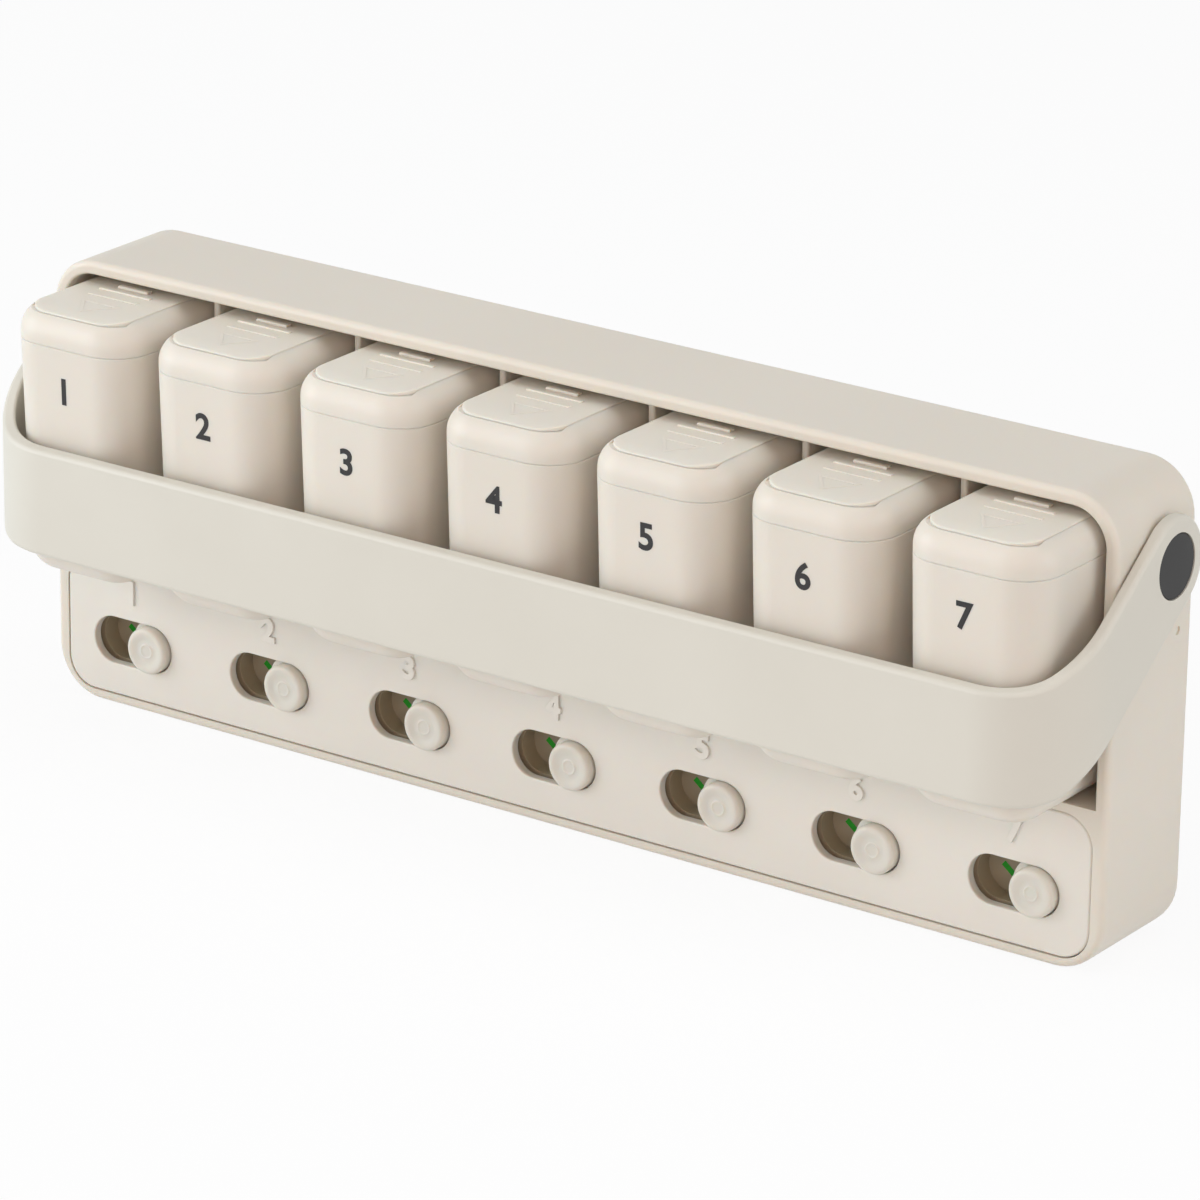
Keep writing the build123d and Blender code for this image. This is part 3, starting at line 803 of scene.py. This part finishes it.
class ORGANIZER_OT_lids(Operator):
    """Make the lids and raise an arrow on each, towards the front that it slides to"""

    bl_idname = "organizer.lids"
    bl_label = "Make Lids"

    def execute(self, context):
        finish = context.scene.organizer_finish
        marks = context.scene.organizer_marks
        sizes = context.scene.organizer_lids
        plastic = moulded_plastic("lid_plastic_satin", finish.lid_colour, finish)
        thin = moulded_plastic("arrow_plastic_satin", finish.lid_colour, finish, deep=False)
        union = NodeSketch("lid_union")
        solids = union.start.outputs["Geometry"]
        union.finish(union.boolean("UNION", Mesh_2=solids), plastic)
        for day, bay in zip(DAYS, BAYS):
            node = f"pod_lid_{day}"
            low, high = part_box(node)
            lid = new_piece(f"lid_plate_{day}", mesh_of(lid_shape(node, sizes), f"lid_plate_{day}"))
            union.apply(lid)
            soften(lid.data)
            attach(lid, f"lid_{day}")
            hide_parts(node)
            shape = arrow_shape(
                marks.arrow_half_width, marks.arrow_base, marks.arrow_tip,
                marks.arrow_line, 2 * marks.arrow_relief,
            )
            face = high.z - sizes.rib_height - marks.arrow_relief
            bmesh.ops.translate(shape, verts=shape.verts, vec=(bay, low.y, face))
            arrow = new_piece(f"lid_arrow_{day}", mesh_of(shape, f"lid_arrow_{day}"), thin)
            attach(arrow, f"lid_{day}")
        return {"FINISHED"}


class ORGANIZER_OT_sliders(Operator):
    """Turn the slider knobs, with their soft dishes and the flanges behind the panel"""

    bl_idname = "organizer.sliders"
    bl_label = "Make Sliders"

    def execute(self, context):
        finish = context.scene.organizer_finish
        sizes = context.scene.organizer_sliders
        plastic = moulded_plastic("slider_plastic_satin", finish.slider_colour, finish)
        for day in DAYS:
            node = f"slider_knob_{day}"
            low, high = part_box(node)
            shape = knob_shape((high.x - low.x) / 2, high.y - low.y, sizes)
            place = upright_place((middle(node).x, low.y, middle(node).z))
            bmesh.ops.transform(shape, verts=shape.verts, matrix=place)
            knob = new_piece(f"slider_turned_{day}", mesh_of(shape, f"slider_turned_{day}"), plastic)
            soften(knob.data)
            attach(knob, f"slider_{day}")
            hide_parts(node)
        return {"FINISHED"}


class ORGANIZER_OT_printed_numbers(Operator):
    """Print a plain number on the front of each pod"""

    bl_idname = "organizer.printed_numbers"
    bl_label = "Print Pod Numbers"

    def execute(self, context):
        finish = context.scene.organizer_finish
        marks = context.scene.organizer_marks
        ink = printed_ink("number_ink", finish.ink_colour, finish)
        for number, (day, bay) in enumerate(zip(DAYS, BAYS), start=1):
            low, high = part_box(f"pod_cup_{day}")
            face = low.y + (high.z - marks.number_level) * math.tan(marks.pod_lean)
            mesh = digit_mesh(
                f"pod_number_{day}", str(number), marks.number_height, marks.number_weight,
                2 * marks.ink_thickness, 0,
            )
            mesh.transform(Matrix.Translation((0, 0, -marks.ink_thickness)))
            mesh.transform(upright_place((bay, face, marks.number_level), marks.pod_lean))
            printed = new_piece(f"pod_number_{day}", mesh, ink)
            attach(printed, f"pod_{day}")
        return {"FINISHED"}


class ORGANIZER_OT_raised_numbers(Operator):
    """Raise the same numbers from the front panel, over the slots"""

    bl_idname = "organizer.raised_numbers"
    bl_label = "Raise Panel Numbers"

    def execute(self, context):
        finish = context.scene.organizer_finish
        marks = context.scene.organizer_marks
        # The raised numbers share the panel's colour, with its painted light
        thin = moulded_plastic("relief_plastic_satin", finish.panel_colour, finish, deep=False)
        for number, (day, bay) in enumerate(zip(DAYS, BAYS), start=1):
            mesh = digit_mesh(
                f"panel_number_{day}", str(number), marks.relief_height, marks.relief_weight,
                2 * marks.relief, marks.relief * NUMBER_ROUNDING,
            )
            mesh.transform(Matrix.Translation((0, 0, -marks.relief)))
            mesh.transform(upright_place((bay, PANEL_FRONT, marks.relief_level)))
            raised = new_piece(f"panel_number_{day}", mesh, thin)
            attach(raised, "case")
        return {"FINISHED"}


class ORGANIZER_OT_ticks(Operator):
    """Print a green tick on the tray under the left end of each slot, as a row by Geometry Nodes"""

    bl_idname = "organizer.ticks"
    bl_label = "Print Ticks"

    def execute(self, context):
        finish = context.scene.organizer_finish
        marks = context.scene.organizer_marks
        bends = (marks.tick_left, marks.tick_foot, marks.tick_right)
        shape = prism(stroke_outline(bends, marks.tick_width), marks.ink_thickness)
        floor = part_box("slider_tray")[0].y + marks.tick_floor
        bmesh.ops.transform(shape, verts=shape.verts, matrix=upright_place((BAYS[0], floor, SLOT_LEVEL)))
        ticks = new_piece("tray_ticks", mesh_of(shape, "tray_ticks"))

        row = NodeSketch("tick_row")
        count = row.input("Count", "NodeSocketInt", len(BAYS))
        pitch = row.length("Pitch", BAY_PITCH)
        step = row.node("ShaderNodeCombineXYZ", X=pitch)
        line = row.node("GeometryNodeMeshLine", Count=count, Offset=step)
        tick = row.start.outputs["Geometry"]
        instances = row.node("GeometryNodeInstanceOnPoints", Points=line, Instance=tick)
        row.finish(instances, printed_ink("tick_ink", finish.tick_colour, finish))
        row.apply(ticks)
        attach(ticks, "case")
        return {"FINISHED"}


class ORGANIZER_OT_screws(Operator):
    """Fit the four panel screws with their cross recesses, by Geometry Nodes"""

    bl_idname = "organizer.screws"
    bl_label = "Fit Screws"

    def execute(self, context):
        finish = context.scene.organizer_finish
        sizes = context.scene.organizer_screws
        low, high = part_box("panel_screws")
        shape = screw_shape(high.y - low.y, sizes)
        place = Matrix.Translation((0, high.y, SLOT_LEVEL)) @ Matrix.Rotation(-math.pi / 2, 4, "X")
        bmesh.ops.transform(shape, verts=shape.verts, matrix=place)
        screws = new_piece("panel_screw_set", mesh_of(shape, "panel_screw_set"))

        pairs = NodeSketch("screw_pairs")
        lines = []
        for name, bays in zip(("Inner Span", "Outer Span"), SCREW_SPANS):
            span = pairs.length(name, bays * BAY_PITCH)
            start = pairs.node("ShaderNodeCombineXYZ", X=pairs.math("DIVIDE", span, -2))
            step = pairs.node("ShaderNodeCombineXYZ", X=span)
            lines.append(pairs.node("GeometryNodeMeshLine", Count=2, Start_Location=start, Offset=step))
        points = pairs.node("GeometryNodeJoinGeometry", Geometry=lines)
        screw = pairs.start.outputs["Geometry"]
        instances = pairs.node("GeometryNodeInstanceOnPoints", Points=points, Instance=screw)
        pairs.finish(instances, plated_steel("screw_zinc", finish.screw_colour, finish))
        pairs.apply(screws)
        soften(screws.data)
        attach(screws, "case")
        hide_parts("panel_screws")
        return {"FINISHED"}


def seen_directly(tree):
    """One where the camera, a reflection or a see-through piece looks at a surface, nought elsewhere."""
    path = tree.nodes.new("ShaderNodeLightPath")
    largest = path.outputs["Is Camera Ray"]
    for ray in ("Is Glossy Ray", "Is Transmission Ray"):
        pick = tree.nodes.new("ShaderNodeMath")
        pick.operation = "MAXIMUM"
        tree.links.new(largest, pick.inputs[0])
        tree.links.new(path.outputs[ray], pick.inputs[1])
        largest = pick.outputs["Value"]
    return largest


def mixed(tree, factor, first, second):
    mix = tree.nodes.new("ShaderNodeMixShader")
    if isinstance(factor, bpy.types.NodeSocket):
        tree.links.new(factor, mix.inputs["Fac"])
    else:
        mix.inputs["Fac"].default_value = factor
    tree.links.new(first, mix.inputs[1])
    tree.links.new(second, mix.inputs[2])
    return mix.outputs["Shader"]


def floor_material(studio):
    """A pale floor that looks white to the camera and still takes the object's soft shadow."""
    material, tree, shader = new_material("studio_floor")
    tree.nodes.remove(shader)
    matte = tree.nodes.new("ShaderNodeBsdfDiffuse")
    matte.inputs["Color"].default_value = (*studio.floor_colour, 1)
    white = tree.nodes.new("ShaderNodeEmission")
    white.inputs["Color"].default_value = (1, 1, 1, 1)
    white.inputs["Strength"].default_value = 1
    shown = mixed(tree, studio.floor_glow, matte.outputs["BSDF"], white.outputs["Emission"])
    surface = mixed(tree, seen_directly(tree), matte.outputs["BSDF"], shown)
    tree.links.new(surface, tree.nodes["Material Output"].inputs["Surface"])
    return material


def light_room(studio):
    """Even pale light from all round, with a white background behind the floor."""
    world = bpy.data.worlds.new("studio_room")
    world.use_nodes = True
    tree = world.node_tree
    room = tree.nodes["Background"]
    room.inputs["Color"].default_value = (*studio.room_tint, 1)
    room.inputs["Strength"].default_value = studio.room_light
    white = tree.nodes.new("ShaderNodeBackground")
    white.inputs["Color"].default_value = (1, 1, 1, 1)
    white.inputs["Strength"].default_value = 1
    shown = mixed(tree, seen_directly(tree), room.outputs["Background"], white.outputs["Background"])
    tree.links.new(shown, tree.nodes["World Output"].inputs["Surface"])
    bpy.context.scene.world = world


def add_lamp(name, power, tint, size, distance, turn, height):
    """A square soft lamp aimed at the object's middle, turned from the front towards the right end."""
    aim = (CAD_BOUNDS[0] + CAD_BOUNDS[1]) / 2
    level = math.cos(height) * distance
    place = aim + Vector((math.sin(turn) * level, -math.cos(turn) * level, math.sin(height) * distance))
    lamp = bpy.data.lights.new(name, "AREA")
    lamp.shape = "SQUARE"
    lamp.size = size
    lamp.energy = power
    lamp.color = tint
    holder = bpy.data.objects.new(name, lamp)
    facing = (aim - place).to_track_quat("-Z", "Y")
    holder.matrix_world = Matrix.LocRotScale(place, facing, None)
    bpy.context.scene.collection.objects.link(holder)


def add_camera(studio):
    turn, drop, roll = studio.view_turn, studio.view_drop, studio.view_roll
    ahead = Vector((-math.sin(turn) * math.cos(drop), math.cos(turn) * math.cos(drop), -math.sin(drop)))
    level = Vector((math.cos(turn), math.sin(turn), 0))
    above = level.cross(ahead)
    right = level * math.cos(roll) + above * math.sin(roll)
    up = right.cross(ahead)
    camera = bpy.data.cameras.new("photo_camera")
    camera.lens = studio.lens
    camera.sensor_width = SENSOR_WIDTH
    camera.clip_start, camera.clip_end = CLIP
    holder = bpy.data.objects.new("photo_camera", camera)
    holder.matrix_world = (
        Matrix.Translation(studio.view_point) @ Matrix((right, up, -ahead)).transposed().to_4x4()
    )
    bpy.context.scene.collection.objects.link(holder)
    bpy.context.scene.camera = holder


class ORGANIZER_OT_studio(Operator):
    """Set up the pale floor, the soft lamps and the photograph's camera"""

    bl_idname = "organizer.studio"
    bl_label = "Set Up Studio"

    def execute(self, context):
        studio = context.scene.organizer_studio
        shape = bmesh.new()
        bmesh.ops.create_grid(shape, x_segments=1, y_segments=1, size=studio.floor_reach)
        bmesh.ops.translate(shape, verts=shape.verts, vec=(0, 0, CAD_BOUNDS[0].z - studio.floor_drop))
        floor = new_piece("studio_floor", mesh_of(shape, "studio_floor"), floor_material(studio))
        light_room(studio)
        for name, (size, distance, turn, height) in LAMPS.items():
            power, tint = getattr(studio, f"{name}_light"), getattr(studio, f"{name}_tint")
            add_lamp(f"{name}_lamp", power, tint, size, distance, math.radians(turn), math.radians(height))
        add_camera(studio)
        context.scene.view_settings.view_transform = "Standard"
        return {"FINISHED"}


class ORGANIZER_PT_sidebar(Panel):
    """Lists the pieces in the order they are made, with the values behind them"""

    bl_idname = "ORGANIZER_PT_sidebar"
    bl_label = "Pill Organizer"
    bl_space_type = "VIEW_3D"
    bl_region_type = "UI"
    bl_category = "Organizer"

    def draw(self, context):
        layout = self.layout
        for step in STEPS:
            layout.operator(step.bl_idname)
        for group in GROUPS:
            settings = getattr(context.scene, group)
            box = layout.box()
            for name in settings.bl_rna.properties.keys():
                if name not in ("rna_type", "name"):
                    box.prop(settings, name)


GROUPS = {
    "organizer_finish": OrganizerFinish,
    "organizer_marks": OrganizerMarks,
    "organizer_lids": OrganizerLids,
    "organizer_sliders": OrganizerSliders,
    "organizer_screws": OrganizerScrews,
    "organizer_studio": OrganizerStudio,
}
STEPS = (
    ORGANIZER_OT_case,
    ORGANIZER_OT_guard,
    ORGANIZER_OT_pods,
    ORGANIZER_OT_lids,
    ORGANIZER_OT_sliders,
    ORGANIZER_OT_printed_numbers,
    ORGANIZER_OT_raised_numbers,
    ORGANIZER_OT_ticks,
    ORGANIZER_OT_screws,
    ORGANIZER_OT_studio,
)


def register():
    for name, group in GROUPS.items():
        bpy.utils.register_class(group)
        setattr(bpy.types.Scene, name, PointerProperty(type=group))
    for step in STEPS:
        bpy.utils.register_class(step)
    bpy.utils.register_class(ORGANIZER_PT_sidebar)


def unregister():
    bpy.utils.unregister_class(ORGANIZER_PT_sidebar)
    for step in reversed(STEPS):
        bpy.utils.unregister_class(step)
    for name, group in GROUPS.items():
        delattr(bpy.types.Scene, name)
        bpy.utils.unregister_class(group)


def main():
    register()
    for step in STEPS:
        family, name = step.bl_idname.split(".")
        getattr(getattr(bpy.ops, family), name)()


if __name__ == "__main__":
    main()
